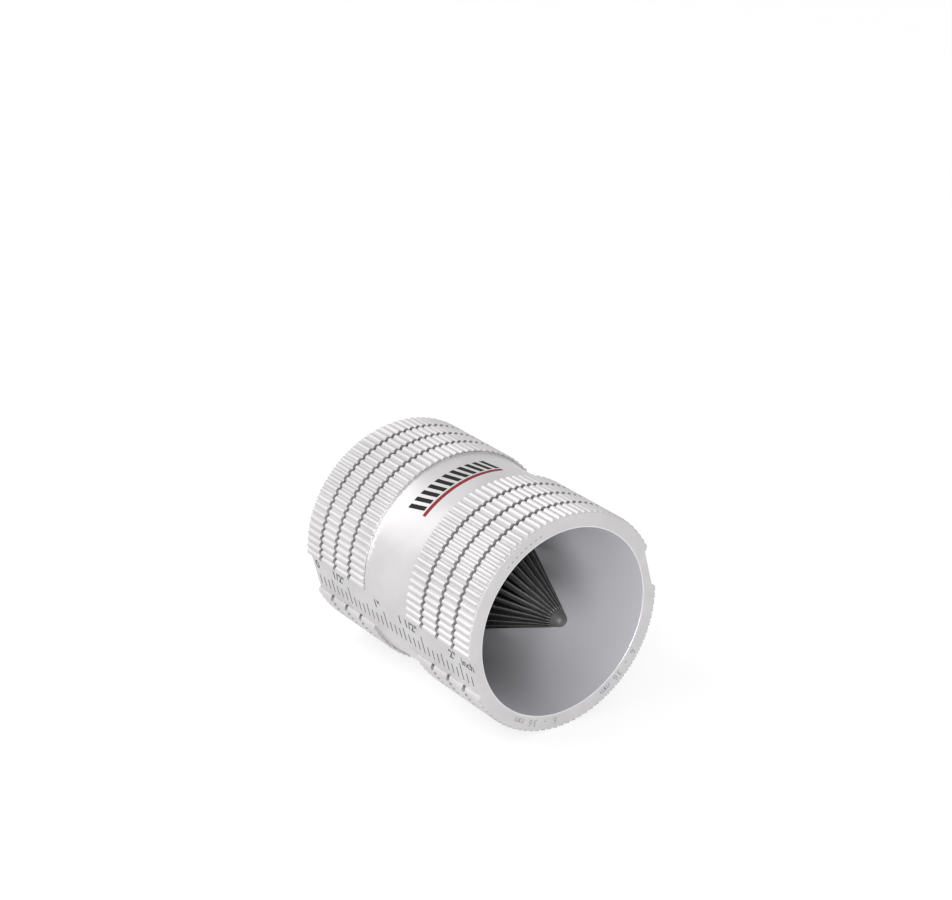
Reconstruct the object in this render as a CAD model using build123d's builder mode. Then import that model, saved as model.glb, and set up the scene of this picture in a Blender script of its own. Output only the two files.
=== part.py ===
"""Inner and outer tube deburring tool: a knurled sleeve with a cone of radial blades inside it.

The tool lies on its side. X is its axis, with the mouth and the blade cone's nose towards +X,
and Z is up. The origin is on the axis, midway between the two ends. Millimetres throughout.
"""

from build123d import *

import os
from math import atan, cos, radians, sin, tan

os.makedirs("parts", exist_ok=True)

# Sleeve
length = 55.6
bore_diameter = 38.6
sleeve_wall = 3.35  # bore to rib tops
band_length = 20.4
rings_per_band = 4
ring_groove_width = 0.9
ring_groove_depth = 0.85
rib_count = 94
rib_height = 0.55
waist_depth = 0.8  # rib tops to the waist's two ends
waist_dip = 0.25  # further fall to the middle of the waist
end_chamfer_length = 1.1
end_chamfer_height = 0.75
mouth_chamfer = 0.25

# Scale channels, one on each side of the sleeve
channel_count = 2
channel_angle = 17.0
channel_width = 8.4
channel_depth = 1.45  # rib tops to the channel's floor

# Rear seat, with what is stacked in it from the rear face inwards
seat_depth = 13.4
seat_step = 0.6  # seat wall outside the bore
snap_ring_setback = 1.0
snap_ring_thickness = 1.0
snap_ring_height = 1.65
snap_ring_gap_angle = 14.0
snap_groove_depth = 0.5
clamp_ring_thickness = 1.0
carrier_wall = 1.65
slot_web = 0.45  # carrier left outside each slot

# Blades
blade_count = 22
blade_phase = 6.3
blade_thickness = 1.0
funnel_setback = 0.7  # clamp ring to where a blade's rear edge leaves the carrier
apex_overhang = 2.1  # the blade cone's apex, in front of the mouth

# Centre pin and its collar
nose_radius = 1.45
nose_skirt = 0.7
shank_radius = 0.98
shank_tail = 0.9  # shank standing out behind the collar
collar_radius = 2.85
collar_length = 2.9
collar_slot_width = 0.8
collar_slot_depth = 0.9

# Dowels that key the carrier to the sleeve
dowel_count = 2
dowel_radius = 0.5
dowel_inset = 0.3  # shortfall at each end of its hole

# Fits
seat_fit = 0.03
stack_fit = 0.05
slot_fit = 0.03
edge_fit = 0.05
blade_gap = 0.02
shank_fit = 0.07
thread_fit = 0.02
dowel_fit = 0.02
groove_fit = 0.05

# Sleeve radii and stations along the axis
rear = -length / 2
front = length / 2
bore_radius = bore_diameter / 2
knurl_radius = bore_radius + sleeve_wall
rib_root_radius = knurl_radius - rib_height
core_radius = knurl_radius - ring_groove_depth
waist_radius = knurl_radius - waist_depth
rear_band_front = rear + band_length
front_band_rear = front - band_length
ring_pitch = band_length / rings_per_band
rib_pitch = 360 / rib_count
inner_ring_places = [
    band_rear + ring * ring_pitch + ring_groove_width / 2
    for band_rear in (rear, front_band_rear)
    for ring in range(1, rings_per_band - 1)
]
outer_ring_places = [
    place
    for band_rear, band_front in ((rear, rear_band_front), (front_band_rear, front))
    for place in (band_rear, band_front - ring_pitch + ring_groove_width / 2)
]

# Rear stack
seat_radius = bore_radius + seat_step
shoulder = rear + seat_depth
groove_rear = rear + snap_ring_setback
groove_front = groove_rear + snap_ring_thickness + 2 * groove_fit
groove_radius = seat_radius + snap_groove_depth
clamp_rear = groove_front
clamp_front = clamp_rear + clamp_ring_thickness
carrier_rear = clamp_front + stack_fit
carrier_front = shoulder - stack_fit
carrier_outer = seat_radius - seat_fit
carrier_inner = carrier_outer - carrier_wall
slot_floor = carrier_outer - slot_web

# Blade cone: both edges of a blade lie at one angle to the axis
apex = front + apex_overhang
edge_radius = bore_radius - edge_fit
cone_slope = edge_radius / (apex - shoulder)
cone_angle = atan(cone_slope)
funnel_apex = clamp_front + funnel_setback + carrier_inner / cone_slope
sector_angle = radians(180 / blade_count)
blade_pitch = 360 / blade_count
dowel_angle = blade_phase + (blade_count // 4 + 0.5) * blade_pitch  # midway between two blades

# Centre pin
nose_centre = apex - nose_radius / sin(cone_angle)
head_rear = nose_centre - nose_skirt
head_radius = (apex - head_rear) * cone_slope
tangent_x = nose_centre + nose_radius * sin(cone_angle)
tangent_radius = nose_radius * cos(cone_angle)
collar_rear = funnel_apex - (collar_radius + blade_gap / cos(cone_angle)) / cone_slope
collar_front = collar_rear + collar_length
collar_front_radius = collar_radius - collar_length * cone_slope
shank_rear = collar_rear - shank_tail


def finish(part: Part, name: str) -> None:
    """Label a finished piece and write its STEP file."""
    part.label = name
    export_step(part, f"parts/{name}.step")


# One knurl ring's cross-section: straight triangular ribs, left out where the channels run
with BuildSketch() as knurl_section:
    with BuildLine():
        rib_outline = []
        for rib in range(rib_count):
            crest = channel_angle + (rib + 0.5) * rib_pitch
            rib_outline.append(Vector(knurl_radius, 0).rotate(Axis.Z, crest))
            rib_outline.append(Vector(rib_root_radius, 0).rotate(Axis.Z, crest + rib_pitch / 2))
        Polyline(*rib_outline, close=True)
    make_face()
    Circle((seat_radius + core_radius) / 2, mode=Mode.SUBTRACT)
    with PolarLocations(knurl_radius, channel_count, start_angle=channel_angle):
        Rectangle(2 * channel_depth, channel_width, mode=Mode.SUBTRACT)

with BuildPart() as housing:
    # Core: bore, rear seat with its snap ring groove, and the dished waist
    with BuildSketch(Plane.XZ):
        with BuildLine():
            Polyline(
                (rear_band_front, waist_radius),
                (rear_band_front, core_radius),
                (rear, core_radius),
                (rear, seat_radius),
                (groove_rear, seat_radius),
                (groove_rear, groove_radius),
                (groove_front, groove_radius),
                (groove_front, seat_radius),
                (shoulder, seat_radius),
                (shoulder, bore_radius),
                (front - mouth_chamfer, bore_radius),
                (front, bore_radius + mouth_chamfer),
                (front, core_radius),
                (front_band_rear, core_radius),
                (front_band_rear, waist_radius),
            )
            ThreePointArc(
                (front_band_rear, waist_radius),
                (0, waist_radius - waist_dip),
                (rear_band_front, waist_radius),
            )
        make_face()
    revolve(axis=Axis.X)

    # Scale channels
    with BuildSketch(Plane.YZ.offset(rear)):
        with PolarLocations(knurl_radius, channel_count, start_angle=channel_angle):
            Rectangle(2 * channel_depth, channel_width)
    extrude(amount=length, mode=Mode.SUBTRACT)

    # Sleeve's half of each dowel hole, midway between two blades
    with BuildSketch(Plane.YZ.offset(clamp_front)):
        with PolarLocations(seat_radius, dowel_count, start_angle=dowel_angle):
            Circle(dowel_radius + dowel_fit)
    extrude(amount=shoulder - clamp_front, mode=Mode.SUBTRACT)

    # Knurl rings, each band's outer ones reaching the band's two ends
    with BuildSketch(*[Plane.YZ.offset(place) for place in inner_ring_places]):
        add(knurl_section.sketch)
    extrude(amount=ring_pitch - ring_groove_width)
    with BuildSketch(*[Plane.YZ.offset(place) for place in outer_ring_places]):
        add(knurl_section.sketch)
    extrude(amount=ring_pitch - ring_groove_width / 2)

    # End chamfers across the ribs
    with BuildSketch(Plane.XZ) as chamfer_cut:
        with BuildLine():
            Polyline(
                (front + end_chamfer_length, knurl_radius - 2 * end_chamfer_height),
                (front - end_chamfer_length, knurl_radius),
                (front - end_chamfer_length, knurl_radius + sleeve_wall),
                (front + end_chamfer_length, knurl_radius + sleeve_wall),
                close=True,
            )
        make_face()
        mirror(about=Plane.YZ)
    revolve(axis=Axis.X, mode=Mode.SUBTRACT)
finish(housing.part, "housing")

with BuildPart() as blade_carrier:
    with BuildSketch(Plane.YZ.offset(carrier_rear)):
        Circle(carrier_outer)
        Circle(carrier_inner, mode=Mode.SUBTRACT)
        with PolarLocations(carrier_inner, blade_count, start_angle=blade_phase):
            Rectangle(
                2 * (slot_floor - carrier_inner),
                blade_thickness + 2 * slot_fit,
                mode=Mode.SUBTRACT,
            )
        with PolarLocations(seat_radius, dowel_count, start_angle=dowel_angle):
            Circle(dowel_radius + dowel_fit, mode=Mode.SUBTRACT)
    extrude(amount=carrier_front - carrier_rear)
finish(blade_carrier.part, "blade_carrier")

with BuildPart() as clamp_ring:
    with BuildSketch(Plane.YZ.offset(clamp_rear)):
        Circle(carrier_outer)
        Circle(carrier_inner, mode=Mode.SUBTRACT)
    extrude(amount=clamp_ring_thickness)
finish(clamp_ring.part, "clamp_ring")

with BuildPart() as snap_ring:
    snap_ring_outer = groove_radius - groove_fit
    with BuildSketch(Plane.YZ.offset(groove_rear + groove_fit)):
        Circle(snap_ring_outer)
        Circle(snap_ring_outer - snap_ring_height, mode=Mode.SUBTRACT)
        with PolarLocations(groove_radius, 1, start_angle=270):
            gap = 2 * groove_radius * sin(radians(snap_ring_gap_angle / 2))
            Rectangle(4 * snap_ring_height, gap, mode=Mode.SUBTRACT)
    extrude(amount=snap_ring_thickness)
finish(snap_ring.part, "snap_ring")

with BuildPart() as centre_pin:
    with BuildSketch(Plane.XZ):
        with BuildLine():
            Polyline(
                (nose_centre + nose_radius, 0),
                (shank_rear, 0),
                (shank_rear, shank_radius),
                (head_rear, shank_radius),
                (head_rear, head_radius),
                (tangent_x, tangent_radius),
            )
            bulge = (radians(90) - cone_angle) / 2
            ThreePointArc(
                (tangent_x, tangent_radius),
                (nose_centre + nose_radius * cos(bulge), nose_radius * sin(bulge)),
                (nose_centre + nose_radius, 0),
            )
        make_face()
    revolve(axis=Axis.X)
finish(centre_pin.part, "centre_pin")

with BuildPart() as pin_collar:
    with BuildSketch(Plane.XZ):
        with BuildLine():
            Polyline(
                (collar_rear, shank_radius + thread_fit),
                (collar_front, shank_radius + thread_fit),
                (collar_front, collar_front_radius),
                (collar_rear, collar_radius),
                close=True,
            )
        make_face()
    revolve(axis=Axis.X)
    with BuildSketch(Plane.YZ.offset(collar_rear)):
        Rectangle(2 * collar_radius, collar_slot_width)
    extrude(amount=collar_slot_depth, mode=Mode.SUBTRACT)
finish(pin_collar.part, "pin_collar")

with BuildPart() as drive_dowels:
    with BuildSketch(Plane.YZ.offset(carrier_rear + dowel_inset)):
        with PolarLocations(seat_radius, dowel_count, start_angle=dowel_angle):
            Circle(dowel_radius)
    extrude(amount=carrier_front - carrier_rear - 2 * dowel_inset)
finish(drive_dowels.part, "drive_dowels")


def make_blade(angle: float) -> Part:
    """Make one blade, standing out from the axis at an angle from +Y towards +Z.

    It is a flat bar slanting from its tail in the carrier to its tip at the centre pin. Its front
    edge lies on the outer cone and its rear edge on the funnel. Near the axis it is ground to a
    wedge, so that the blades fit side by side round the pin.
    """
    turn = radians(angle)
    blade_plane = Plane((0, 0, 0), x_dir=(1, 0, 0), z_dir=(0, -sin(turn), cos(turn)))
    tail_front = carrier_front - stack_fit
    tail_rear = carrier_rear
    tail_radius = slot_floor - slot_fit
    root_radius = shank_radius + shank_fit
    tip_front = head_rear - stack_fit
    with BuildPart() as blade:
        with BuildSketch(blade_plane):
            with BuildLine():
                Polyline(
                    (tail_rear, tail_radius),
                    (tail_rear, (funnel_apex - tail_rear) * cone_slope),
                    (funnel_apex - root_radius / cone_slope, root_radius),
                    (tip_front, root_radius),
                    (tip_front, (apex - tip_front) * cone_slope),
                    (tail_front, (apex - tail_front) * cone_slope),
                    (tail_front, tail_radius),
                    close=True,
                )
            make_face()
        extrude(amount=blade_thickness / 2, both=True)
        reach = 2 * knurl_radius
        start = blade_gap / 2 / sin(sector_angle)
        half_width = (reach - start) * tan(sector_angle)
        sector_plane = Plane((rear, 0, 0), x_dir=(0, cos(turn), sin(turn)), z_dir=(1, 0, 0))
        with BuildSketch(sector_plane):
            Polygon((start, 0), (reach, -half_width), (reach, half_width), align=None)
        extrude(amount=length, mode=Mode.INTERSECT)
    return blade.part


for number in range(blade_count):
    finish(make_blade(blade_phase + number * blade_pitch), f"blade_{number + 1:02d}")
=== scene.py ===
"""Looks of the inner and outer deburring tool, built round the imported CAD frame.

X is the tool's axis with the mouth towards +X, Z is up, and every length is in metres.
"""

import logging
import math
from dataclasses import dataclass
from enum import Enum
from functools import cached_property
from typing import Any, Callable, Iterable, Sequence

import bmesh
import bpy
from mathutils import Matrix, Vector


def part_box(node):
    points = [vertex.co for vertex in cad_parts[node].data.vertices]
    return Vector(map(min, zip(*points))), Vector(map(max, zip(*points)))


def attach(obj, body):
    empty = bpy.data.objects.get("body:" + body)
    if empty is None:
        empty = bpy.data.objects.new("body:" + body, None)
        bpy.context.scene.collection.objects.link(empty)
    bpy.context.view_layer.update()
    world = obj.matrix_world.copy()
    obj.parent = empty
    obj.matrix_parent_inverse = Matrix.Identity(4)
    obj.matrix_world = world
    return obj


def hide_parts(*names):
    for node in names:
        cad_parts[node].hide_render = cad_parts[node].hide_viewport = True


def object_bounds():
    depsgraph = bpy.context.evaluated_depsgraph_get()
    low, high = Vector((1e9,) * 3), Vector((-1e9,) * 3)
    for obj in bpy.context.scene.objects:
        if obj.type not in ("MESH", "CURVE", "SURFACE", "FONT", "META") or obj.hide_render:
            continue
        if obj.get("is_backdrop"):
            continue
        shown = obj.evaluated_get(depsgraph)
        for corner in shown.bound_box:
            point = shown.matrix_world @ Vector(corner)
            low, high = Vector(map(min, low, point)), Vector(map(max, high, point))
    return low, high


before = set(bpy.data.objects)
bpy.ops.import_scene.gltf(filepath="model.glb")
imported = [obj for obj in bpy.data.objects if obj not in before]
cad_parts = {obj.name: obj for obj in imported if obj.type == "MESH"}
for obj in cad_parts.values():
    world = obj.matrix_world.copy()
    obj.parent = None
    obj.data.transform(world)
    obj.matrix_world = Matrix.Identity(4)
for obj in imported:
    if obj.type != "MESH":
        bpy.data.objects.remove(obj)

logging.basicConfig(level=logging.INFO, format="%(message)s")
log = logging.getLogger("deburring_tool")

CAD_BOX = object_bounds()
MM = 0.001
BODY = "root"
INK_TOP = 0.01 * MM
INK_ROOT = 0.03 * MM
WELD = 1e-7
NEAR = 1e-6
CREASE = 35.0
Point = tuple[float, float]


# ---- shader maths


@dataclass(frozen=True)
class Socket:
    """One output of a node, with arithmetic that adds Math nodes."""

    shader: "Shader"
    link: Any

    def __add__(self, other: "Socket | float") -> "Socket":
        """Return self + other."""
        return self.shader.maths("ADD", self, other)

    __radd__ = __add__

    def __sub__(self, other: "Socket | float") -> "Socket":
        """Return self - other."""
        return self.shader.maths("SUBTRACT", self, other)

    def __rsub__(self, other: float) -> "Socket":
        """Return other - self."""
        return self.shader.maths("SUBTRACT", other, self)

    def __mul__(self, other: "Socket | float") -> "Socket":
        """Return self * other."""
        return self.shader.maths("MULTIPLY", self, other)

    __rmul__ = __mul__

    def __abs__(self) -> "Socket":
        """Return the size of self."""
        return self.shader.maths("ABSOLUTE", self)

    def maximum(self, other: "Socket | float") -> "Socket":
        """Return the larger of self and other."""
        return self.shader.maths("MAXIMUM", self, other)

    def root(self) -> "Socket":
        """Return the square root of self."""
        return self.shader.maths("SQRT", self)

    def ramp(self, low: float, high: float) -> "Socket":
        """Return 0 where self is low, rising smoothly to 1 where it is high.

        Args:
            low: the value that gives 0.
            high: the value that gives 1.

        Returns:
            The mask.
        """
        settings = {"interpolation_type": "SMOOTHSTEP"}
        values = {"Value": self, "From Min": low, "From Max": high}
        return self.shader.node("ShaderNodeMapRange", settings, values)


class Shader:
    """A Principled material under construction."""

    def __init__(self, name: str) -> None:
        """Start a material with one Principled BSDF.

        Args:
            name: the material's name.
        """
        self.material = bpy.data.materials.new(name)
        self.material.use_nodes = True
        self.tree = self.material.node_tree
        self.surface = self.tree.nodes["Principled BSDF"]

    def node(
        self, kind: str, settings: dict[str, Any] | None = None,
        values: dict[Any, Any] | None = None, output: Any = 0,
    ) -> Socket:
        """Add a node and return one of its outputs.

        Args:
            kind: the node's type.
            settings: its properties, set first.
            values: what goes into its sockets, as numbers, colours or links.
            output: the name or number of the output wanted.

        Returns:
            The wanted output.
        """
        made = self.tree.nodes.new(kind)
        for key, value in (settings or {}).items():
            setattr(made, key, value)
        for key, value in (values or {}).items():
            self.feed(made.inputs[key], value)
        return Socket(self, made.outputs[output])

    def feed(self, socket: Any, value: Any) -> None:
        """Link a value to a socket, or set it there.

        Args:
            socket: the node's input.
            value: a link, a number or a colour.
        """
        if isinstance(value, Socket):
            self.tree.links.new(value.link, socket)
        else:
            socket.default_value = value

    def maths(self, operation: str, *operands: "Socket | float") -> Socket:
        """Add a Math node for one operation."""
        values = dict(enumerate(operands))
        return self.node("ShaderNodeMath", {"operation": operation}, values)

    def place(self) -> Socket:
        """Return the point on the surface in the tool's own frame."""
        return self.node("ShaderNodeTexCoord", output="Object")

    def split(self, vector: Socket) -> tuple[Socket, Socket, Socket]:
        """Take a vector apart.

        Args:
            vector: the vector.

        Returns:
            Its X, Y and Z.
        """
        first = self.node("ShaderNodeSeparateXYZ", values={0: vector})
        outputs = first.link.node.outputs
        return tuple(Socket(self, outputs[axis]) for axis in "XYZ")

    def scaled(self, vector: Socket, factors: Sequence[float]) -> Socket:
        """Return a vector multiplied part by part."""
        settings = {"operation": "MULTIPLY"}
        return self.node("ShaderNodeVectorMath", settings, {0: vector, 1: factors})

    def noise(self, vector: Socket, scale: float, detail: float = 3.0) -> Socket:
        """Return a noise pattern from 0 to 1, with so many features to a metre."""
        return self.node("ShaderNodeTexNoise", values={"Vector": vector, "Scale": scale, "Detail": detail})

    def mix(self, factor: Socket | float, first: Any, second: Any) -> Socket:
        """Return a colour that goes from first to second as factor goes from 0 to 1."""
        values = {"Factor": factor, 6: first, 7: second}
        return self.node("ShaderNodeMix", {"data_type": "RGBA"}, values, output=2)

    def bump(self, height: Socket, depth: float, normal: Socket | None = None) -> Socket:
        """Return a normal bent by a height pattern.

        Args:
            height: the pattern, from 0 to 1.
            depth: how deep it is, in metres.
            normal: a normal to bend further.

        Returns:
            The bent normal.
        """
        values = {"Height": height, "Distance": depth, "Strength": 1.0}
        if normal is not None:
            values["Normal"] = normal
        return self.node("ShaderNodeBump", values=values)

    def set(self, **values: Any) -> None:
        """Feed the Principled BSDF's sockets, named with underscores for spaces."""
        for key, value in values.items():
            self.feed(self.surface.inputs[key.replace("_", " ")], value)


def grey(value: float, red: float = 0.0, blue: float = 0.0) -> tuple[float, float, float, float]:
    """Return a grey with a small share of red and blue added."""
    return (value * (1 + red), value, value * (1 + blue), 1.0)


# ---- finishes


@dataclass(frozen=True)
class SatinAluminium:
    """Bead-blasted, clear-anodised aluminium, with turning lines in the bore and painted shade on the
    floors of the ring grooves.
    """

    bore_radius: float
    groove_stations: tuple[float, ...]
    groove_radius: float
    name: str = "blasted_aluminium"
    light: float = 0.53
    dark: float = 0.50
    bore_shade: float = 0.47
    roughness: float = 0.50
    bore_roughness: float = 0.36
    metallic: float = 0.92
    bore_metallic: float = 0.3
    groove_painted_shade: float = 0.20
    grain: float = 9000.0
    tint: Point = (0.02, 0.008)
    bore_tint: Point = (0.012, 0.055)
    bore_fade: Point = (0.1 * MM, 0.3 * MM)
    side_fade: Point = (0.36 * MM, 0.44 * MM)
    floor_fade: Point = (-0.15 * MM, -0.05 * MM)
    lip_fade: Point = (0.2 * MM, 0.4 * MM)

    def make(self) -> Any:
        """Make the material.

        Returns:
            The material.
        """
        shader = Shader(self.name)
        place = shader.place()
        x, y, z = shader.split(place)
        radius = (y * y + z * z).root()
        outside = (radius - self.bore_radius).ramp(*self.bore_fade)
        # Mask for the painted shade on the floors of the ring grooves.
        groove = self.painted_groove_shade_mask(x, radius - self.groove_radius)
        cloud = shader.noise(place, 160.0, 2.0)
        grain = shader.noise(place, self.grain, 2.0)
        lines = shader.noise(shader.scaled(place, (1.0, 0.02, 0.02)), 5200.0, 2.0)
        texture = lines + (grain - lines) * outside
        rough = outside * (self.roughness - self.bore_roughness) + self.bore_roughness
        skin = shader.mix(cloud.ramp(0.3, 0.7), grey(self.dark, *self.tint), grey(self.light, *self.tint))
        # Painted shade: the groove floors get a dark grey in place of the skin, standing in for the shade
        # that falls in the ring grooves.
        skin = shader.mix(groove, skin, grey(self.groove_painted_shade))
        shader.set(
            Base_Color=shader.mix(outside, grey(self.bore_shade, *self.bore_tint), skin),
            Roughness=(cloud - 0.5) * 0.08 + (texture - 0.5) * 0.06 + rough,
            Metallic=outside * (self.metallic - self.bore_metallic) + self.bore_metallic,
            Normal=shader.bump(texture, 0.006 * MM),
        )
        return shader.material

    def painted_groove_shade_mask(self, x: Socket, height: Socket) -> Socket:
        """Mask the floors of the grooves between the knurl's rings, where shade is painted.

        Args:
            x: the place along the axis.
            height: how far the point is outside a groove's floor.

        Returns:
            1 on a groove's floor and 0 elsewhere.
        """
        beside = [1 - abs(abs(x) - station).ramp(*self.side_fade) for station in self.groove_stations]
        mask = beside[0].maximum(beside[1]).maximum(beside[2])
        return mask * height.ramp(*self.floor_fade) * (1 - height.ramp(*self.lip_fade))


@dataclass(frozen=True)
class BladeSteel:
    """Black oxide steel whose ground edges on the cone and the funnel are brighter."""

    slope: float
    apex: float
    funnel_apex: float
    tip: float
    name: str = "oxide_blade_steel"
    land: float = 0.055 * MM
    tip_length: float = 0.9 * MM

    def make(self) -> Any:
        """Make the material.

        Returns:
            The material.
        """
        shader = Shader(self.name)
        place = shader.place()
        x, y, z = shader.split(place)
        radius = (y * y + z * z).root()
        squeeze = math.cos(math.atan(self.slope))
        outside = ((self.apex - x) * self.slope - radius) * squeeze
        inside = (radius - (self.funnel_apex - x) * self.slope) * squeeze
        edge = 1 - abs(outside).ramp(self.land * 0.3, self.land)
        rear_edge = 1 - abs(inside).ramp(self.land * 0.3, self.land)
        wear = shader.noise(place, 2400.0, 3.0)
        streaks = shader.noise(shader.scaled(place, (0.15, 1.0, 1.0)), 5200.0, 3.0)
        bright = edge.maximum(rear_edge) * wear.ramp(0.2, 0.6)
        near_tip = x.ramp(self.tip - self.tip_length, self.tip)
        ground = shader.mix(near_tip, grey(0.12), grey(0.40))
        body = shader.mix(streaks.ramp(0.35, 0.75), grey(0.008), grey(0.024, 0.02, -0.02))
        shader.set(
            Base_Color=shader.mix(bright, body, ground),
            Roughness=0.6 - bright * 0.15 + (streaks - 0.5) * 0.15,
            Metallic=bright * 0.6,
            Specular_IOR_Level=0.28,
            Normal=shader.bump(streaks, 0.008 * MM),
        )
        return shader.material


@dataclass(frozen=True)
class DarkSteel:
    """Plain steel with an oxide, phosphate or zinc finish."""

    name: str
    light: float
    dark: float
    roughness: float
    metallic: float = 0.85

    def make(self) -> Any:
        """Make the material.

        Returns:
            The material.
        """
        shader = Shader(self.name)
        place = shader.place()
        cloud = shader.noise(place, 500.0, 4.0)
        grain = shader.noise(place, 7000.0, 2.0)
        shader.set(
            Base_Color=shader.mix(cloud.ramp(0.3, 0.7), grey(self.dark), grey(self.light)),
            Roughness=(cloud - 0.5) * 0.15 + (grain - 0.5) * 0.08 + self.roughness,
            Metallic=self.metallic,
            Normal=shader.bump(grain, 0.006 * MM),
        )
        return shader.material


@dataclass(frozen=True)
class PrintedInk:
    """Printed ink or the dark fill of an engraved line."""

    name: str
    colour: tuple[float, float, float, float]
    roughness: float = 0.5

    def make(self) -> Any:
        """Make the material, slightly uneven as print is.

        Returns:
            The material.
        """
        shader = Shader(self.name)
        blotch = shader.noise(shader.place(), 3000.0, 3.0)
        thin = tuple(min(1.0, channel * 1.5 + 0.01) for channel in self.colour[:3]) + (1.0,)
        shader.set(
            Base_Color=shader.mix(blotch.ramp(0.45, 0.85), self.colour, thin),
            Roughness=(blotch - 0.5) * 0.2 + self.roughness,
            Specular_IOR_Level=0.12,
        )
        return shader.material


# ---- mesh tools


def deselect_all() -> None:
    """Leave edit mode if need be, and deselect every object."""
    if bpy.context.object and bpy.context.object.mode != "OBJECT":
        bpy.ops.object.mode_set(mode="OBJECT")
    bpy.ops.object.select_all(action="DESELECT")


def pick(piece: Any) -> None:
    """Make one object the only one selected, and the active one.

    Args:
        piece: the object.
    """
    deselect_all()
    piece.select_set(True)
    bpy.context.view_layer.objects.active = piece


def choose(wanted: Callable[[Vector], bool], what: str = "FACE") -> None:
    """Select the parts of the mesh being edited whose middle passes a test.

    Args:
        wanted: the test on a point.
        what: EDGE or FACE.
    """
    bpy.ops.mesh.select_all(action="DESELECT")
    bpy.ops.mesh.select_mode(type=what)
    mesh = bmesh.from_edit_mesh(bpy.context.object.data)
    for part in mesh.faces if what == "FACE" else mesh.edges:
        part.select_set(wanted(sum((vert.co for vert in part.verts), Vector()) / len(part.verts)))
    mesh.select_flush_mode()
    bmesh.update_edit_mesh(bpy.context.object.data)


def edit(piece: Any) -> None:
    """Open a piece in edit mode with all of it selected.

    Args:
        piece: the object.
    """
    pick(piece)
    bpy.ops.object.mode_set(mode="EDIT")
    bpy.ops.mesh.select_all(action="SELECT")


def close() -> None:
    """Turn the faces of the mesh being edited outwards, and leave edit mode."""
    bpy.ops.mesh.select_all(action="SELECT")
    bpy.ops.mesh.normals_make_consistent(inside=False)
    bpy.ops.object.mode_set(mode="OBJECT")


def settle(piece: Any) -> None:
    """Move an object's place, turn and size into its mesh."""
    pick(piece)
    bpy.ops.object.transform_apply(location=True, rotation=True, scale=True)


def turn(piece: Any, degrees: float) -> None:
    """Turn a piece round the X axis, from +Y towards +Z."""
    piece.matrix_world = Matrix.Rotation(math.radians(degrees), 4, "X")
    settle(piece)


def bevel(piece: Any, width: float) -> None:
    """Ease a piece's sharp edges with one narrow flat.

    Args:
        piece: the object.
        width: the flat's width.
    """
    pick(piece)
    modifier = piece.modifiers.new("bevel", "BEVEL")
    modifier.width, modifier.segments = width, 1
    modifier.limit_method, modifier.angle_limit = "ANGLE", math.radians(CREASE)
    bpy.ops.object.modifier_apply(modifier="bevel")


def smooth(piece: Any, angle: float = CREASE) -> None:
    """Shade a piece smooth, except across edges sharper than an angle in degrees."""
    pick(piece)
    bpy.ops.object.shade_smooth_by_angle(angle=math.radians(angle))


def cut(piece: Any, cutter: Any) -> None:
    """Cut one object's shape out of another.

    Args:
        piece: the object that is cut.
        cutter: the other, which is removed.
    """
    pick(piece)
    modifier = piece.modifiers.new("cut", "BOOLEAN")
    modifier.operation = "DIFFERENCE"
    modifier.solver = "EXACT"
    modifier.object = cutter
    bpy.ops.object.modifier_apply(modifier="cut")
    bpy.data.objects.remove(cutter)


def trim(point: Sequence[float], outward: Sequence[float]) -> None:
    """Cut off what lies beyond a plane in the mesh being edited, and close the cut.

    Args:
        point: a point on the plane.
        outward: the direction square to it, towards what goes.
    """
    bpy.ops.mesh.select_all(action="SELECT")
    bpy.ops.mesh.bisect(plane_co=point, plane_no=outward, clear_outer=True, use_fill=True, threshold=WELD)


def turned(name: str, outline: Sequence[Point], steps: int = 192, ring: bool = True) -> Any:
    """Turn an outline round the X axis, by extruding a circle from point to point.

    Args:
        name: the new object's name.
        outline: points as distance along the axis and radius.
        steps: how many sides the circle has.
        ring: whether the last point joins the first; otherwise both ends are closed.

    Returns:
        The new object.
    """
    deselect_all()
    (start, radius), rest = outline[0], outline[1:]
    bpy.ops.mesh.primitive_circle_add(
        vertices=steps, radius=radius, location=(start, 0, 0), rotation=(0, math.pi / 2, 0)
    )
    piece = bpy.context.object
    piece.name = name
    settle(piece)
    edit(piece)
    for place, wide in rest:
        bpy.ops.mesh.extrude_edges_move(TRANSFORM_OT_translate={"value": (place - start, 0, 0)})
        bpy.ops.transform.resize(value=(1, wide / radius, wide / radius), center_override=(0, 0, 0))
        start, radius = place, wide
    bpy.ops.mesh.select_mode(type="EDGE")
    bpy.ops.mesh.select_all(action="SELECT")
    bpy.ops.mesh.region_to_loop()
    if ring:
        bpy.ops.mesh.bridge_edge_loops()
    else:
        bpy.ops.mesh.edge_face_add()
    bpy.ops.mesh.select_all(action="SELECT")
    bpy.ops.mesh.remove_doubles(threshold=WELD)
    close()
    return piece


def block(name: str, low: Sequence[float], high: Sequence[float]) -> Any:
    """Add a block between two corners.

    Args:
        name: the new object's name.
        low: the lowest corner.
        high: the highest corner.

    Returns:
        The new object.
    """
    deselect_all()
    middle = [(a + b) / 2 for a, b in zip(low, high)]
    bpy.ops.mesh.primitive_cube_add(size=1, location=middle)
    piece = bpy.context.object
    piece.name = name
    piece.scale = [b - a for a, b in zip(low, high)]
    settle(piece)
    return piece


def copy_of(piece: Any, name: str) -> Any:
    """Copy an object with its own mesh.

    Args:
        piece: the object.
        name: the copy's name.

    Returns:
        The copy.
    """
    twin = piece.copy()
    twin.data = piece.data.copy()
    twin.name = name
    bpy.context.scene.collection.objects.link(twin)
    return twin


def joined(pieces: Sequence[Any], name: str) -> Any:
    """Join several objects into one.

    Args:
        pieces: the objects.
        name: the name of what they become.

    Returns:
        The one object.
    """
    deselect_all()
    for piece in pieces:
        piece.select_set(True)
    bpy.context.view_layer.objects.active = pieces[0]
    bpy.ops.object.join()
    pieces[0].name = name
    return pieces[0]


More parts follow.
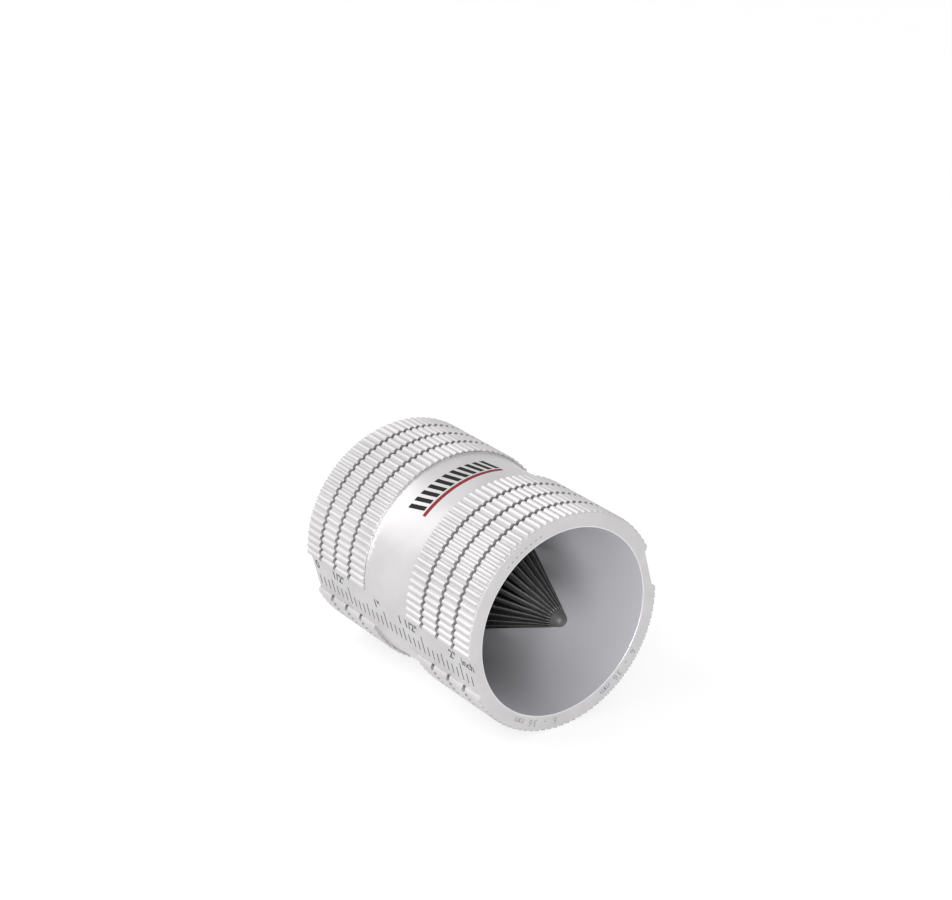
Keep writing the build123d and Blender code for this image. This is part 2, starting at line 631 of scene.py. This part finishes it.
def dress(piece: Any, finish: "Finish", slot: str, *stands_for: str) -> None:
    """Give a finished piece its material and its body, and hide the CAD nodes it stands for.

    Args:
        piece: the finished object.
        finish: its finish.
        slot: not used.
        stands_for: the CAD nodes that it replaces.
    """
    piece.data.materials.clear()
    piece.data.materials.append(finish.material)
    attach(piece, BODY)
    if stands_for:
        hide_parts(*stands_for)
    log.info("%s: %d faces", piece.name, len(piece.data.polygons))


# ---- the tool's layout


@dataclass(frozen=True)
class Layout:
    """What several sub-assemblies share. The ends and the knurl's crests come from the frame."""

    bore_radius: float = 19.3 * MM
    edge_fit: float = 0.05 * MM
    seat_depth: float = 13.4 * MM
    apex_overhang: float = 2.1 * MM
    funnel_setback: float = 0.7 * MM
    rings: int = 4
    ring_pitch: float = 5.1 * MM
    groove_depth: float = 0.85 * MM
    nose_radius: float = 1.45 * MM
    nose_skirt: float = 0.7 * MM
    carrier_inner: float = 18.22 * MM
    blade_phase: float = 6.3
    blade_count: int = 22

    @property
    def rear(self) -> float:
        """The sleeve's rear face."""
        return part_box("housing")[0].x

    @property
    def front(self) -> float:
        """The sleeve's front face."""
        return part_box("housing")[1].x

    @property
    def knurl_radius(self) -> float:
        """The radius over the knurl's crests."""
        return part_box("housing")[1].z

    @property
    def groove_stations(self) -> tuple[float, ...]:
        """How far the grooves between the knurl's rings are from the sleeve's middle."""
        return tuple(self.front - ring * self.ring_pitch for ring in range(1, self.rings))

    @property
    def groove_floor(self) -> float:
        """The radius at the floor of those grooves."""
        return self.knurl_radius - self.groove_depth

    @property
    def shoulder(self) -> float:
        """Where the rear seat ends."""
        return self.rear + self.seat_depth

    @property
    def apex(self) -> float:
        """The outer cone's apex."""
        return self.front + self.apex_overhang

    @property
    def slope(self) -> float:
        """The fall in radius along either edge of a blade."""
        return (self.bore_radius - self.edge_fit) / (self.apex - self.shoulder)

    @property
    def nose_centre(self) -> float:
        """The middle of the pin's round nose, which touches the outer cone."""
        return self.apex - self.nose_radius / math.sin(math.atan(self.slope))

    @property
    def head_rear(self) -> float:
        """The rear of the pin's head, where the blades' tips end."""
        return self.nose_centre - self.nose_skirt

    @property
    def funnel_apex(self) -> float:
        """The funnel's apex."""
        clamp_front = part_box("clamp_ring")[1].x
        return clamp_front + self.funnel_setback + self.carrier_inner / self.slope


LAYOUT = Layout()


class Finish(Enum):
    """The finishes, each made once."""

    SLEEVE = SatinAluminium(LAYOUT.bore_radius, LAYOUT.groove_stations, LAYOUT.groove_floor)
    BLADE = BladeSteel(LAYOUT.slope, LAYOUT.apex, LAYOUT.funnel_apex, LAYOUT.head_rear)
    CARRIER = DarkSteel("carrier_oxide_steel", 0.05, 0.02, 0.45)
    PLATED = DarkSteel("zinc_plated_steel", 0.55, 0.40, 0.30)
    SPRING = DarkSteel("blued_spring_steel", 0.16, 0.08, 0.38)
    PIN = DarkSteel("phosphated_pin_steel", 0.055, 0.035, 0.50, 0.25)
    SCALE_FILL = PrintedInk("scale_fill", grey(0.035), 0.6)
    PALE_FILL = PrintedInk("pale_fill", grey(0.20), 0.6)
    BLACK_INK = PrintedInk("black_ink", grey(0.006), 0.6)
    RED_INK = PrintedInk("red_ink", (0.12, 0.012, 0.013, 1.0), 0.6)

    @cached_property
    def material(self) -> Any:
        """The material, made the first time that it is asked for."""
        return self.value.make()


# ---- sub-assemblies


@dataclass
class Sleeve:
    """The aluminium sleeve: bore, rear seat, dished waist, channels and two knurled bands."""

    groove_width: float = 0.85 * MM
    groove_taper: float = 0.9
    rib_count: int = 94
    rib_height: float = 0.42 * MM
    rib_foot: float = 1.50 * MM
    rib_crest: float = 0.56 * MM
    rib_sink: float = 0.15 * MM
    rib_round: float = 0.26 * MM
    end_setback: float = 0.12 * MM
    end_chamfer: tuple[float, float] = (0.35 * MM, 0.38 * MM)
    waist_depth: float = 0.8 * MM
    waist_dip: float = 0.25 * MM
    lip_drop: float = 0.75 * MM
    lip_length: float = 0.05 * MM
    mouth_chamfer: float = 0.05 * MM
    seat_radius: float = 19.9 * MM
    snap_groove: tuple[float, float] = (1.0 * MM, 2.1 * MM)
    snap_groove_depth: float = 0.5 * MM
    channel_angles: tuple[float, float] = (17.0, 197.0)
    channel_width: float = 8.4 * MM
    channel_depth: float = 1.45 * MM
    channel_wall: float = 0.33 * MM
    flare: float = 3.0 * MM
    waist_steps: int = 18
    core_crease: float = 28.0
    rib_crease: float = 30.0

    def __post_init__(self) -> None:
        """Work out the radii that the sizes give."""
        self.crest = LAYOUT.knurl_radius
        self.root = self.crest - self.rib_height
        self.band_length = LAYOUT.rings * LAYOUT.ring_pitch
        self.band_starts = (LAYOUT.rear, LAYOUT.front - self.band_length)

    def band_outline(self, start: float) -> list[Point]:
        """Draw the outside of one band's core, with the grooves between its rings.

        Args:
            start: the band's rear end.

        Returns:
            Its points.
        """
        half, taper = self.groove_width / 2, self.groove_taper
        floor = LAYOUT.groove_floor
        points: list[Point] = []
        for ring in range(1, LAYOUT.rings):
            middle = start + ring * LAYOUT.ring_pitch
            points += [(middle - half, self.root), (middle - half * taper, floor)]
            points += [(middle + half * taper, floor), (middle + half, self.root)]
        return points

    def waist_radius(self, place: float) -> float:
        """Work out the dished waist's radius.

        Args:
            place: the distance along the axis.

        Returns:
            The radius there.
        """
        start = self.band_starts[0] + self.band_length
        along = (place - start) / (self.band_starts[1] - start)
        return self.crest - self.waist_depth - self.waist_dip * 4 * along * (1 - along)

    def waist_outline(self) -> list[Point]:
        """Draw the dished waist between the bands.

        Returns:
            Its points.
        """
        start = self.band_starts[0] + self.band_length
        step = (self.band_starts[1] - start) / self.waist_steps
        places = [start + number * step for number in range(self.waist_steps + 1)]
        return [(place, self.waist_radius(place)) for place in places]

    def core_outline(self) -> list[Point]:
        """Draw the whole section of the sleeve without its ribs.

        Returns:
            Its points, once round.
        """
        rear, front, bore = LAYOUT.rear, LAYOUT.front - INK_TOP, LAYOUT.bore_radius
        lip = self.crest - self.lip_drop
        groove = [rear + place for place in self.snap_groove]
        deep = self.seat_radius + self.snap_groove_depth
        waist = self.waist_outline()
        return [
            (rear, lip),
            (rear + self.lip_length, self.root),
            *self.band_outline(self.band_starts[0]),
            (waist[0][0], self.root),
            *waist,
            (waist[-1][0], self.root),
            *self.band_outline(self.band_starts[1]),
            (front - self.lip_length, self.root),
            (front, lip),
            (front, bore + self.mouth_chamfer),
            (front - self.mouth_chamfer, bore),
            (LAYOUT.shoulder, bore),
            (LAYOUT.shoulder, self.seat_radius),
            *((groove[1], radius) for radius in (self.seat_radius, deep)),
            *((groove[0], radius) for radius in (deep, self.seat_radius)),
            (rear + self.mouth_chamfer, self.seat_radius),
            (rear, self.seat_radius + self.mouth_chamfer),
        ]

    def build_core(self) -> None:
        """Turn the core and mill its two channels."""
        core = turned("sleeve_body", self.core_outline(), steps=256)
        for angle in self.channel_angles:
            floor = self.crest - self.channel_depth
            cut(core, self.channel_cutter(floor, angle))
        smooth(core, self.core_crease)
        dress(core, Finish.SLEEVE, "satin_aluminium", "housing")

    def channel_cutter(self, floor: float, angle: float) -> Any:
        """Model what a channel takes away: straight walls that flare out near the top.

        Args:
            floor: how far the channel's floor is from the axis.
            angle: where the channel is, in degrees.

        Returns:
            The cutter.
        """
        half, top = self.channel_width / 2, floor + self.channel_wall
        cutter = block("channel_cutter", (LAYOUT.rear - MM, floor, -half), (LAYOUT.front + MM, top, half))
        edit(cutter)
        choose(lambda point: point.y > top - NEAR)
        bpy.ops.mesh.extrude_region_move(TRANSFORM_OT_translate={"value": (0, self.flare, 0)})
        wider = (half + self.flare) / half
        bpy.ops.transform.resize(value=(1, 1, wider), center_override=(0, 0, 0))
        close()
        turn(cutter, angle)
        return cutter

    def rib(self, start: float, end: float) -> Any:
        """Model one rib on the +Y side of the sleeve.

        Args:
            start: the rib's rear end.
            end: its front end.

        Returns:
            The rib, with a rounded crest.
        """
        foot, crest = self.rib_foot / 2, self.rib_crest / 2
        bar = block("rib", (start, self.root - self.rib_sink, -foot), (end, self.crest, foot))
        edit(bar)
        choose(lambda point: point.y > self.crest - NEAR)
        bpy.ops.transform.resize(value=(1, 1, crest / foot), center_override=(0, 0, 0))
        choose(lambda point: point.y > self.crest - NEAR and abs(point.z) > crest / 2, "EDGE")
        bpy.ops.mesh.bevel(offset=self.rib_round, segments=3, affect="EDGES")
        length, height = self.end_chamfer
        for place, face, way in ((start, LAYOUT.rear, -1), (end, LAYOUT.front, 1)):
            if abs(place - face) < MM / 2:
                trim((place, self.crest - height, 0), (way * height, length, 0))
        close()
        return bar

    def ring_of_ribs(self, start: float, end: float) -> Any:
        """Model one knurl ring, leaving out the ribs that the channels take.

        Args:
            start: the ring's rear end.
            end: its front end.

        Returns:
            The ring.
        """
        ring = self.rib(start, end)
        turn(ring, self.channel_angles[0] + 180 / self.rib_count)
        edit(ring)
        bpy.ops.mesh.spin(
            steps=self.rib_count, angle=2 * math.pi, center=(0, 0, 0), axis=(1, 0, 0),
            dupli=True, use_normal_flip=False, use_auto_merge=False,
        )
        self.clear_channels()
        close()
        return ring

    def clear_channels(self) -> None:
        """Delete each rib that reaches into a channel, and the spare copy that spin leaves."""
        mesh = bmesh.from_edit_mesh(bpy.context.object.data)
        step = 2 * math.pi / self.rib_count
        reach = math.asin(self.channel_width / 2 / self.crest)
        seen: set[int] = set()
        gone: list[Any] = []
        for island in islands(mesh):
            middle = sum((vert.co for vert in island), Vector()) / len(island)
            angle = math.atan2(middle.z, middle.y)
            offset = angle - math.radians(self.channel_angles[0])
            number = round(offset / step - 0.5) % self.rib_count
            aside = abs((offset + math.pi / 2) % math.pi - math.pi / 2)
            if number in seen or aside < reach + step / 2:
                gone += island
            seen.add(number)
        bmesh.ops.delete(mesh, geom=gone, context="VERTS")
        bmesh.update_edit_mesh(bpy.context.object.data)

    def build_bands(self) -> None:
        """Model the ribs of both bands, set back from the sleeve's ends and from each groove."""
        half = self.groove_width / 2
        setbacks = ((self.end_setback, 0.0), (0.0, self.end_setback))
        for name, start, (first, last) in zip(("rear_knurl", "front_knurl"), self.band_starts, setbacks):
            gaps = [first] + [half] * (LAYOUT.rings - 1) + [last]
            made = []
            for ring in range(LAYOUT.rings):
                rear = start + ring * LAYOUT.ring_pitch
                front = rear + LAYOUT.ring_pitch
                made.append(self.ring_of_ribs(rear + gaps[ring], front - gaps[ring + 1]))
            band = joined(made, name)
            smooth(band, self.rib_crease)
            dress(band, Finish.SLEEVE, "satin_aluminium", "housing")


def islands(mesh: Any) -> Iterable[list[Any]]:
    """Find the separate parts of a mesh.

    Args:
        mesh: the mesh being edited.

    Returns:
        The vertices of each part.
    """
    left = set(mesh.verts)
    while left:
        part, edge = [], [left.pop()]
        while edge:
            vert = edge.pop()
            part.append(vert)
            for link in vert.link_edges:
                other = link.other_vert(vert)
                if other in left:
                    left.remove(other)
                    edge.append(other)
        yield part


@dataclass
class Blades:
    """The cone of blades, each a slanting bar with a ground relief along both edges."""

    thickness: float = 1.0 * MM
    gap: float = 0.02 * MM
    root_radius: float = 1.05 * MM
    tail_radius: float = 19.39 * MM
    land: float = 0.28 * MM
    relief: float = 30.0
    edge_flat: float = 0.03 * MM

    def build(self) -> None:
        """Model one blade and copy it round the axis."""
        low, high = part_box("blade_01")
        flank = self.thickness / 2
        first = block("blade", (low.x, self.root_radius, -flank), (high.x, self.tail_radius, flank))
        edit(first)
        slope, tilt = LAYOUT.slope, math.tan(math.radians(self.relief))
        inset = self.land - flank
        trim((LAYOUT.apex, 0, 0), (slope, 1, 0))
        trim((LAYOUT.funnel_apex, 0, 0), (-slope, -1, 0))
        trim((LAYOUT.apex, 0, inset), (slope, 1, tilt))
        trim((LAYOUT.funnel_apex, 0, inset), (-slope, -1, tilt))
        half = math.pi / LAYOUT.blade_count
        edge = self.gap / 2 / math.sin(half)
        for side in (-1, 1):
            trim((0, edge, 0), (0, -math.sin(half), side * math.cos(half)))
        close()
        bevel(first, self.edge_flat)
        for number in range(LAYOUT.blade_count):
            blade = copy_of(first, f"blade_{number + 1:02d}_bar")
            turn(blade, LAYOUT.blade_phase + number * 360 / LAYOUT.blade_count)
            dress(blade, Finish.BLADE, "blade_steel", f"blade_{number + 1:02d}")
        bpy.data.objects.remove(first)


@dataclass
class CentrePin:
    """The round-nosed pin that the blades' tips lie against, and its collar in the funnel."""

    shank_radius: float = 0.98 * MM
    nose_steps: int = 14
    collar_radius: float = 2.85 * MM
    collar_length: float = 2.9 * MM
    slot_width: float = 0.8 * MM
    slot_depth: float = 0.9 * MM
    shank_chamfer: float = 0.15 * MM
    collar_chamfer: float = 0.12 * MM
    head_edge: float = 0.06 * MM
    collar_fit: float = 0.02 * MM
    nose_share: float = 0.985
    steps: int = 64

    def build_pin(self) -> None:
        """Turn the pin, whose round nose stops just short of the axis."""
        angle = math.atan(LAYOUT.slope)
        shank_rear, head_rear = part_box("centre_pin")[0].x, LAYOUT.head_rear
        head_radius = (LAYOUT.apex - head_rear) * LAYOUT.slope
        outline = [
            (shank_rear, self.shank_radius - self.shank_chamfer),
            (shank_rear + self.shank_chamfer, self.shank_radius),
            (head_rear, self.shank_radius),
            (head_rear, head_radius - self.head_edge),
            (head_rear + self.head_edge, head_radius - self.head_edge * LAYOUT.slope),
        ]
        for step in range(self.nose_steps + 1):
            lean = angle + (math.pi / 2 - angle) * step / self.nose_steps * self.nose_share
            along, aside = LAYOUT.nose_radius * math.sin(lean), LAYOUT.nose_radius * math.cos(lean)
            outline.append((LAYOUT.nose_centre + along, aside))
        pin = turned("centre_pin_body", outline, self.steps, ring=False)
        smooth(pin)
        dress(pin, Finish.PIN, "dark_pin_steel", "centre_pin")

    def build_collar(self) -> None:
        """Turn the collar and cut the slot across its face."""
        low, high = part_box("pin_collar")
        inner = self.shank_radius + self.collar_fit
        chamfer = self.collar_chamfer
        small = self.collar_radius - self.collar_length * LAYOUT.slope
        section = [
            (low.x, inner + chamfer),
            (low.x, self.collar_radius - chamfer),
            (low.x + chamfer, self.collar_radius - chamfer * LAYOUT.slope),
            (high.x, small),
            (high.x, inner),
            (low.x + chamfer, inner),
        ]
        collar = turned("pin_collar_body", section, self.steps)
        half, reach = self.slot_width / 2, 2 * self.collar_radius
        cutter = block("slot_cutter", (low.x - MM, -reach, -half), (low.x + self.slot_depth, reach, half))
        cut(collar, cutter)
        smooth(collar)
        dress(collar, Finish.PLATED, "plated_steel", "pin_collar")


@dataclass
class RearStack:
    """What holds the blades' tails: carrier, clamp ring, snap ring and dowels."""

    carrier_outer: float = 19.87 * MM
    snap_outer: float = 20.35 * MM
    snap_height: float = 1.65 * MM
    snap_gap: float = 14.0
    edge: float = 0.1 * MM

    def flat_ring(self, name: str, node: str, inner: float, outer: float) -> Any:
        """Turn a flat ring with eased edges.

        Args:
            name: its name.
            node: the CAD node that it is as long as.
            inner: its inner radius.
            outer: its outer radius.

        Returns:
            The ring.
        """
        low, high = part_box(node)
        e = self.edge
        section = [
            (low.x, inner + e),
            (low.x, outer - e),
            (low.x + e, outer),
            (high.x - e, outer),
            (high.x, outer - e),
            (high.x, inner + e),
            (high.x - e, inner),
            (low.x + e, inner),
        ]
        return turned(name, section)

    def build(self) -> None:
        """Turn the two rings and finish the CAD carrier and dowels."""
        inner = self.snap_outer - self.snap_height
        clamp = self.flat_ring("clamp_ring_body", "clamp_ring", LAYOUT.carrier_inner, self.carrier_outer)
        smooth(clamp)
        dress(clamp, Finish.PLATED, "plated_steel", "clamp_ring")
        snap = self.flat_ring("snap_ring_body", "snap_ring", inner, self.snap_outer)
        half = self.snap_outer * math.sin(math.radians(self.snap_gap / 2))
        low, high = (LAYOUT.rear, self.snap_outer / 2, -half), (0, self.snap_outer + MM, half)
        cutter = block("gap_cutter", low, high)
        turn(cutter, 270.0)
        cut(snap, cutter)
        smooth(snap)
        dress(snap, Finish.SPRING, "spring_steel", "snap_ring")
        for node, finish in (("blade_carrier", Finish.CARRIER), ("drive_dowels", Finish.SPRING)):
            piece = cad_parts[node]
            piece.data.materials.clear()
            piece.data.materials.append(finish.material)
            log.info("%s keeps its CAD shape", node)


# ---- marks


def lettering(text: str, size: float, align: str = "CENTER", weight: float = 0.0) -> Any:
    """Model flat lettering on the XY plane, centred on its height.

    Args:
        text: what it says.
        size: the type size.
        align: which end of it is at the origin.
        weight: how much each stroke is widened to either side.

    Returns:
        The lettering, as a mesh.
    """
    deselect_all()
    bpy.ops.object.text_add()
    piece = bpy.context.object
    piece.data.body = text
    piece.data.size = size
    piece.data.resolution_u = 3
    piece.data.offset = weight
    piece.data.extrude = (INK_TOP + INK_ROOT) / 2
    piece.data.align_x = align
    piece.data.align_y = "CENTER"
    bpy.ops.object.convert(target="MESH")
    edit(piece)
    bpy.ops.mesh.remove_doubles(threshold=NEAR)
    close()
    return piece


def laid(piece: Any, origin: Vector, right: Vector, up: Vector) -> Any:
    """Lay a flat mark on a surface, with its top just proud of it.

    Args:
        piece: the mark, modelled on the XY plane.
        origin: the point on the surface where the mark's origin goes.
        right: the direction that the mark's X takes.
        up: the direction that its Y takes.

    Returns:
        The mark.
    """
    out = right.cross(up)
    middle = origin + out * (INK_TOP - INK_ROOT) / 2
    piece.matrix_world = Matrix.Translation(middle) @ Matrix((right, up, out)).transposed().to_4x4()
    settle(piece)
    return piece


@dataclass
class Scale:
    """The depth scale on the floor of one channel: the dark fill of its ticks and numbers."""

    name: str
    angle: float
    floor_radius: float
    spacing: float
    labels: tuple[str, ...]
    unit: str
    per_label: int
    per_middle: int
    foot: float = -2.93 * MM
    lengths: tuple[float, float, float] = (4.0 * MM, 3.07 * MM, 2.28 * MM)
    line_width: float = 0.26 * MM
    end_gap: float = 2.0 * MM
    setback: float = 0.41 * MM
    label_height: float = 1.95 * MM
    label_size: float = 2.75 * MM
    unit_size: float = 2.5 * MM
    weight: float = 0.04 * MM

    def tick(self, number: int) -> Any:
        """Model one tick, flat and in its place along the axis.

        Args:
            number: which tick it is, counted from the scale's zero.

        Returns:
            The tick.
        """
        rank = (number % self.per_label > 0) + (number % self.per_middle > 0)
        length, place = self.lengths[rank], self.station(number)
        half, thick = self.line_width / 2, (INK_TOP + INK_ROOT) / 2
        return block("tick", (place - half, self.foot, -thick), (place + half, self.foot + length, thick))

    def station(self, number: int) -> float:
        """Return a tick's distance along the axis."""
        return LAYOUT.rear + number * self.spacing - self.setback

    def build(self) -> None:
        """Model the ticks and the labels, and lay them on the channel's floor."""
        count = int((LAYOUT.front - LAYOUT.rear - self.end_gap + self.setback) / self.spacing)
        marks = [self.tick(number) for number in range(1, count + 1)]
        for number, text in enumerate(self.labels):
            label = lettering(text, self.label_size, "RIGHT" if number else "LEFT", self.weight)
            place = self.station(number * self.per_label)
            aside = -2 * self.setback if number else 3 * self.setback
            label.location = (place + aside, self.label_height, 0)
            settle(label)
            marks.append(label)
        unit = lettering(self.unit, self.unit_size, "LEFT", self.weight)
        last = self.station((len(self.labels) - 1) * self.per_label)
        unit.location = (last + 2 * self.setback, self.label_height, 0)
        settle(unit)
        marks.append(unit)
        out, right = radial(self.angle), Vector((1, 0, 0))
        piece = laid(joined(marks, self.name), out * self.floor_radius, right, out.cross(right))
        dress(piece, Finish.SCALE_FILL, "satin_aluminium")


@dataclass
class WaistPrint:
    """The print round the waist: a red line and a black row of plain slanted bars."""

    sleeve: Sleeve
    arc: tuple[float, float] = (80.5, 133.5)
    row: tuple[float, float] = (-3.3 * MM, 0.9 * MM)
    red_line: tuple[float, float] = (1.35 * MM, 2.3 * MM)
    bar_count: int = 11
    bar_fill: float = 0.56
    slant: float = 14.0
    steps: int = 6

    def band(self, name: str, row: Point) -> Any:
        """Turn a thin ring that follows the waist.

        Args:
            name: its name.
            row: where it starts and ends along the axis.

        Returns:
            The ring.
        """
        places = [row[0] + (row[1] - row[0]) * step / self.steps for step in range(self.steps + 1)]
        top = [(place, self.sleeve.waist_radius(place) + INK_TOP) for place in places]
        root = [(place, self.sleeve.waist_radius(place) - INK_ROOT) for place in reversed(places)]
        return turned(name, top + root, steps=256)

    def wedge(self, name: str, row: Point, middle: float, half: float, slant: float) -> Any:
        """Keep the part of a ring between two planes that lean over together.

        Args:
            name: its name.
            row: where it starts and ends along the axis.
            middle: the angle of its middle, in degrees.
            half: half its width round the waist, in degrees.
            slant: how far both its sides lean, in degrees.

        Returns:
            The part that is kept.
        """
        piece = self.band(name, row)
        edit(piece)
        trim((0, 0, 0), -radial(middle))
        for side in (-1, 1):
            edge = math.radians(middle + side * half)
            along = Vector((0, -math.sin(edge), math.cos(edge))) * math.cos(math.radians(slant))
            along.x = math.sin(math.radians(slant))
            point = radial(middle + side * half) * self.sleeve.crest + Vector((sum(row) / 2, 0, 0))
            trim(point, along * side)
        close()
        return piece

    def build(self) -> None:
        """Model the red line and the row of bars."""
        first, last = self.arc
        line = self.wedge("waist_red_line", self.red_line, (first + last) / 2, (last - first) / 2, 0.0)
        dress(line, Finish.RED_INK, "satin_aluminium")
        pitch = (last - first) / self.bar_count
        bars = []
        for number in range(self.bar_count):
            middle = first + (number + 0.5) * pitch
            bars.append(self.wedge("bar", self.row, middle, pitch * self.bar_fill / 2, self.slant))
        dress(joined(bars, "waist_bars"), Finish.BLACK_INK, "satin_aluminium")


@dataclass
class RimMarks:
    """Pale size marks on the front face, read from outside with their feet towards the bore."""

    radius: float = 20.72 * MM
    size: float = 1.95 * MM
    weight: float = 0.03 * MM
    pitch: float = 3.4
    words: tuple[tuple[str, float], ...] = (("6 - 36 mm", 267.0), ("6 - 36 mm", 328.0), ("--------", 133.0))

    def build(self) -> None:
        """Lay each character square to its own radius."""
        marks = []
        for word, start in self.words:
            for number, letter in enumerate(word):
                if letter != " ":
                    out = radial(start - number * self.pitch)
                    origin = out * self.radius + Vector((LAYOUT.front - INK_TOP, 0, 0))
                    right = Vector((0, out.z, -out.y))
                    mark = lettering(letter, self.size, weight=self.weight)
                    marks.append(laid(mark, origin, right, out))
        dress(joined(marks, "rim_marks"), Finish.PALE_FILL, "satin_aluminium")


def radial(angle: float) -> Vector:
    """Return the unit vector square to the axis at an angle in degrees from +Y towards +Z."""
    return Vector((0, math.cos(math.radians(angle)), math.sin(math.radians(angle))))


def scales(sleeve: Sleeve) -> list[Scale]:
    """Lay out the inch scale in one channel and the millimetre scale in the other.

    Args:
        sleeve: the sleeve that has the channels.

    Returns:
        The two scales.
    """
    floor = sleeve.crest - sleeve.channel_depth
    near, far = sleeve.channel_angles[1], sleeve.channel_angles[0]
    inches = ("0", '1/2"', '1"', '1 1/2"', '2"')
    tens = ("0", "10", "20", "30", "40", "50")
    return [
        Scale("inch_scale", near, floor, 25.4 / 16 * MM, inches, "inch", 8, 4),
        Scale("millimetre_scale", far, floor, 1.0 * MM, tens, "mm", 10, 5),
    ]


class Studio:
    """A plain pale floor, soft light and the camera."""

    def build(self) -> None:
        """Add the floor, the lights and the camera."""
        bpy.context.scene.view_settings.view_transform = "Standard"
        self.floor()
        self.light("key_softbox", (-0.14, -0.39, 0.45), 0.36, 2.6)
        self.light("mouth_softbox", (0.50, -0.48, 0.13), 0.30, 6.0)
        self.world(1.0)
        self.camera()

    def floor(self) -> None:
        """Add the floor just under the tool, a lit white table that takes hardly any shadow."""
        deselect_all()
        bpy.ops.mesh.primitive_plane_add(size=6.0, location=(0, 0, CAD_BOX[0].z))
        floor = bpy.context.object
        floor.name = "studio_floor"
        shader = Shader("pale_floor")
        grain = shader.noise(shader.place(), 40.0, 2.0)
        shader.set(
            Base_Color=shader.mix(grain, grey(0.19), grey(0.21)),
            Roughness=0.8,
            Emission_Color=grey(1.0),
            Emission_Strength=0.72,
        )
        floor.data.materials.append(shader.material)
        floor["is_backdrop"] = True

    def light(self, name: str, place: Sequence[float], size: float, power: float) -> None:
        """Add a square softbox that faces the tool.

        Args:
            name: its name.
            place: where it stands.
            size: the length of its sides.
            power: its power in watts.
        """
        data = bpy.data.lights.new(name, "AREA")
        data.size, data.energy = size, power
        lamp = bpy.data.objects.new(name, data)
        lamp.location = place
        lamp.rotation_euler = (-Vector(place)).to_track_quat("-Z", "Y").to_euler()
        bpy.context.scene.collection.objects.link(lamp)

    def world(self, strength: float) -> None:
        """Light everything evenly from all round.

        Args:
            strength: how bright the surroundings are.
        """
        world = bpy.data.worlds.new("studio_world")
        world.use_nodes = True
        background = world.node_tree.nodes["Background"]
        background.inputs["Color"].default_value = (1, 1, 1, 1)
        background.inputs["Strength"].default_value = strength
        bpy.context.scene.world = world

    def camera(self) -> None:
        """Stand the camera in front, above and to the right of the tool's mouth."""
        azimuth, elevation, roll = math.radians(53.11), math.radians(22.46), math.radians(2.10)
        aim = Vector((-7.97, 4.38, 21.78)) * MM
        distance, level = 462.5 * MM, math.cos(elevation)
        back = Vector((math.sin(azimuth) * level, -math.cos(azimuth) * level, math.sin(elevation)))
        data = bpy.data.cameras.new("camera")
        data.lens, data.sensor_width = 88.2, 36.0
        data.clip_start, data.clip_end = 0.01, 20.0
        camera = bpy.data.objects.new("camera", data)
        facing = back.to_track_quat("Z", "Y").to_matrix() @ Matrix.Rotation(roll, 3, "Z")
        camera.matrix_world = Matrix.Translation(aim + back * distance) @ facing.to_4x4()
        bpy.context.scene.collection.objects.link(camera)
        bpy.context.scene.camera = camera


def write_size() -> None:
    """Gather the CAD box and the visual model's box as plain lists."""
    boxes = {"cad": CAD_BOX, "visual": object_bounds()}
    plain = {name: [list(corner) for corner in box] for name, box in boxes.items()}


def main() -> None:
    """Build every sub-assembly, then the studio."""
    sleeve = Sleeve()
    sleeve.build_core()
    sleeve.build_bands()
    for scale in scales(sleeve):
        scale.build()
    WaistPrint(sleeve).build()
    RimMarks().build()
    Blades().build()
    pin = CentrePin()
    pin.build_pin()
    pin.build_collar()
    RearStack().build()
    Studio().build()
    write_size()


if __name__ == "__main__":
    main()
